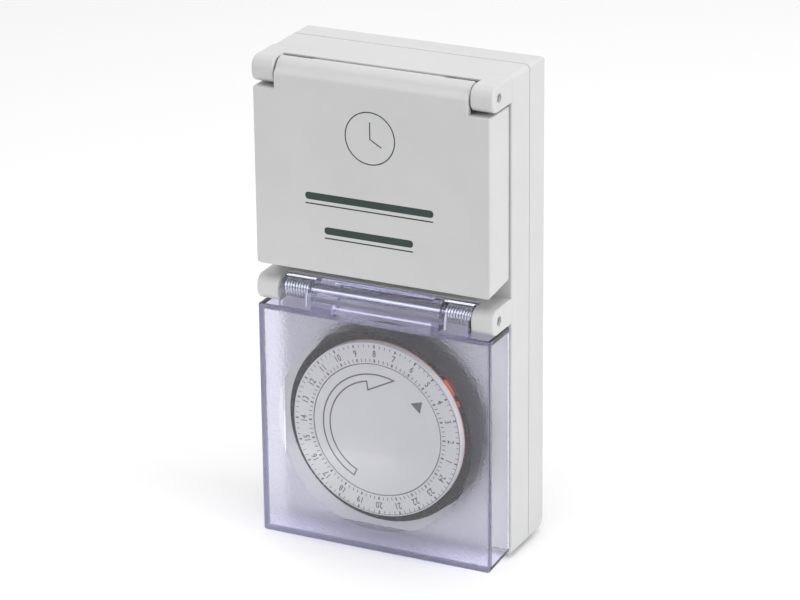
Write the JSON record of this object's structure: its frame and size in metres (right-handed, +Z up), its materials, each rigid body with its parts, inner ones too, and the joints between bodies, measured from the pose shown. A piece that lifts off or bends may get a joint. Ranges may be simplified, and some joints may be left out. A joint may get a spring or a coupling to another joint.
{
  "type": "plug-in segment timer",
  "caption": "Splash-proof plug-in mains timer with a sprung socket flap above a clear sprung cover over a 24-hour segment dial, and a mains plug on the back.",
  "frame": {"origin": "centre of the housing's flat back face", "axes": "+Z up along the housing, -Y out of the front, +X to the right seen from the front"},
  "size_m": [0.076, 0.075, 0.1483],
  "materials": {
    "grey_shell": "fine satin moulding",
    "dark_insert": "satin",
    "violet_clear": "clear violet-tinted plastic, frosted front",
    "dial_grey": "satin",
    "segment_black": "satin",
    "carrier_orange": "satin",
    "natural_nylon": "satin",
    "seal_rubber": "matt",
    "zinc_steel": "bright zinc plate",
    "contact_brass": "plain",
    "pin_nickel": "nickel plate"
  },
  "bodies": {
    "housing": {"front_housing": "grey_shell", "rear_housing": "grey_shell", "socket_insert": "grey_shell", "plug_body": "dark_insert", "switch_body": "dark_insert", "mechanism_plate": "dark_insert", "centre_disc": "dial_grey", "housing_seal": "seal_rubber", "plug_seal": "seal_rubber", "socket_gasket": "seal_rubber", "case_screw_1": "zinc_steel", "case_screw_2": "zinc_steel", "case_screw_3": "zinc_steel", "case_screw_4": "zinc_steel", "plate_screw_1": "zinc_steel", "plate_screw_2": "zinc_steel", "plate_screw_3": "zinc_steel", "plate_screw_4": "zinc_steel", "flap_hinge_pin": "zinc_steel", "cover_hinge_pin": "zinc_steel", "dial_post": "zinc_steel", "idler_shaft": "zinc_steel", "motor_body": "zinc_steel", "earth_clip": "contact_brass", "live_contact": "contact_brass", "neutral_contact": "contact_brass", "common_blade": "contact_brass", "switched_blade": "contact_brass", "live_link": "contact_brass", "switched_link": "contact_brass", "live_pin": "pin_nickel", "neutral_pin": "pin_nickel", "plug_earth_strip_lower": "pin_nickel", "plug_earth_strip_upper": "pin_nickel"},
    "flap": {"socket_flap": "grey_shell", "flap_spring_left": "zinc_steel", "flap_spring_right": "zinc_steel"},
    "cover": {"dial_cover": "violet_clear", "cover_spring_left": "zinc_steel", "cover_spring_right": "zinc_steel"},
    "dial": {"number_dial": "dial_grey", "dial_carrier": "carrier_orange", "tripper_ring": "segment_black", "dial_gear": "natural_nylon"},
    "idler": {"idler_gear": "natural_nylon"},
    "motor_rotor": {"motor_pinion": "natural_nylon"},
    "lever": {"switch_lever": "zinc_steel"},
    "loose_segment_1": {"segment_1": "segment_black"},
    "loose_segment_2": {"segment_2": "segment_black"},
    "loose_segment_3": {"segment_3": "segment_black"},
    "loose_segment_4": {"segment_4": "segment_black"},
    "loose_segment_5": {"segment_5": "segment_black"}
  },
  "joints": [
    {"name": "flap_hinge", "type": "hinge", "parent": "housing", "child": "flap", "pos_m": [0, -0.032, 0.07015], "axis": [-1, 0, 0], "range_deg": [0, 105], "stiffness_Nm_per_rad": 0.02, "springref_deg": -45.84, "deforming": ["flap_spring_left", "flap_spring_right"]},
    {"name": "cover_hinge", "type": "hinge", "parent": "housing", "child": "cover", "pos_m": [0, -0.032, 0.0034], "axis": [-1, 0, 0], "range_deg": [0, 105], "stiffness_Nm_per_rad": 0.02, "springref_deg": -45.84, "deforming": ["cover_spring_left", "cover_spring_right"]},
    {"name": "dial_spin", "type": "hinge", "parent": "housing", "child": "dial", "pos_m": [0, -0.034, -0.036], "axis": [0, -1, 0], "continuous": true},
    {"name": "idler_spin", "type": "hinge", "parent": "housing", "child": "idler", "pos_m": [-0.024, -0.017, -0.02158], "axis": [0, -1, 0], "continuous": true},
    {"name": "rotor_spin", "type": "hinge", "parent": "housing", "child": "motor_rotor", "pos_m": [-0.0115, -0.016, -0.02158], "axis": [0, -1, 0], "continuous": true},
    {"name": "lever_hinge", "type": "hinge", "parent": "housing", "child": "lever", "pos_m": [-0.008, -0.0185, -0.0006], "axis": [0, -1, 0], "range_deg": [0, 4], "stiffness_Nm_per_rad": 0.01, "springref_deg": -11.46},
    {"name": "segment_1_slide", "type": "slide", "parent": "dial", "child": "loose_segment_1", "axis": [0, 1, 0], "range_m": [-0.0014, 0]},
    {"name": "segment_2_slide", "type": "slide", "parent": "dial", "child": "loose_segment_2", "axis": [0, 1, 0], "range_m": [0, 0.0014]},
    {"name": "segment_3_slide", "type": "slide", "parent": "dial", "child": "loose_segment_3", "axis": [0, 1, 0], "range_m": [-0.0014, 0]},
    {"name": "segment_4_slide", "type": "slide", "parent": "dial", "child": "loose_segment_4", "axis": [0, 1, 0], "range_m": [-0.0014, 0]},
    {"name": "segment_5_slide", "type": "slide", "parent": "dial", "child": "loose_segment_5", "axis": [0, 1, 0], "range_m": [-0.0014, 0]}
  ],
  "couplings": [
    {"joint": "idler_spin", "follows": "dial_spin", "ratio": -6},
    {"joint": "rotor_spin", "follows": "dial_spin", "ratio": 9}
  ]
}
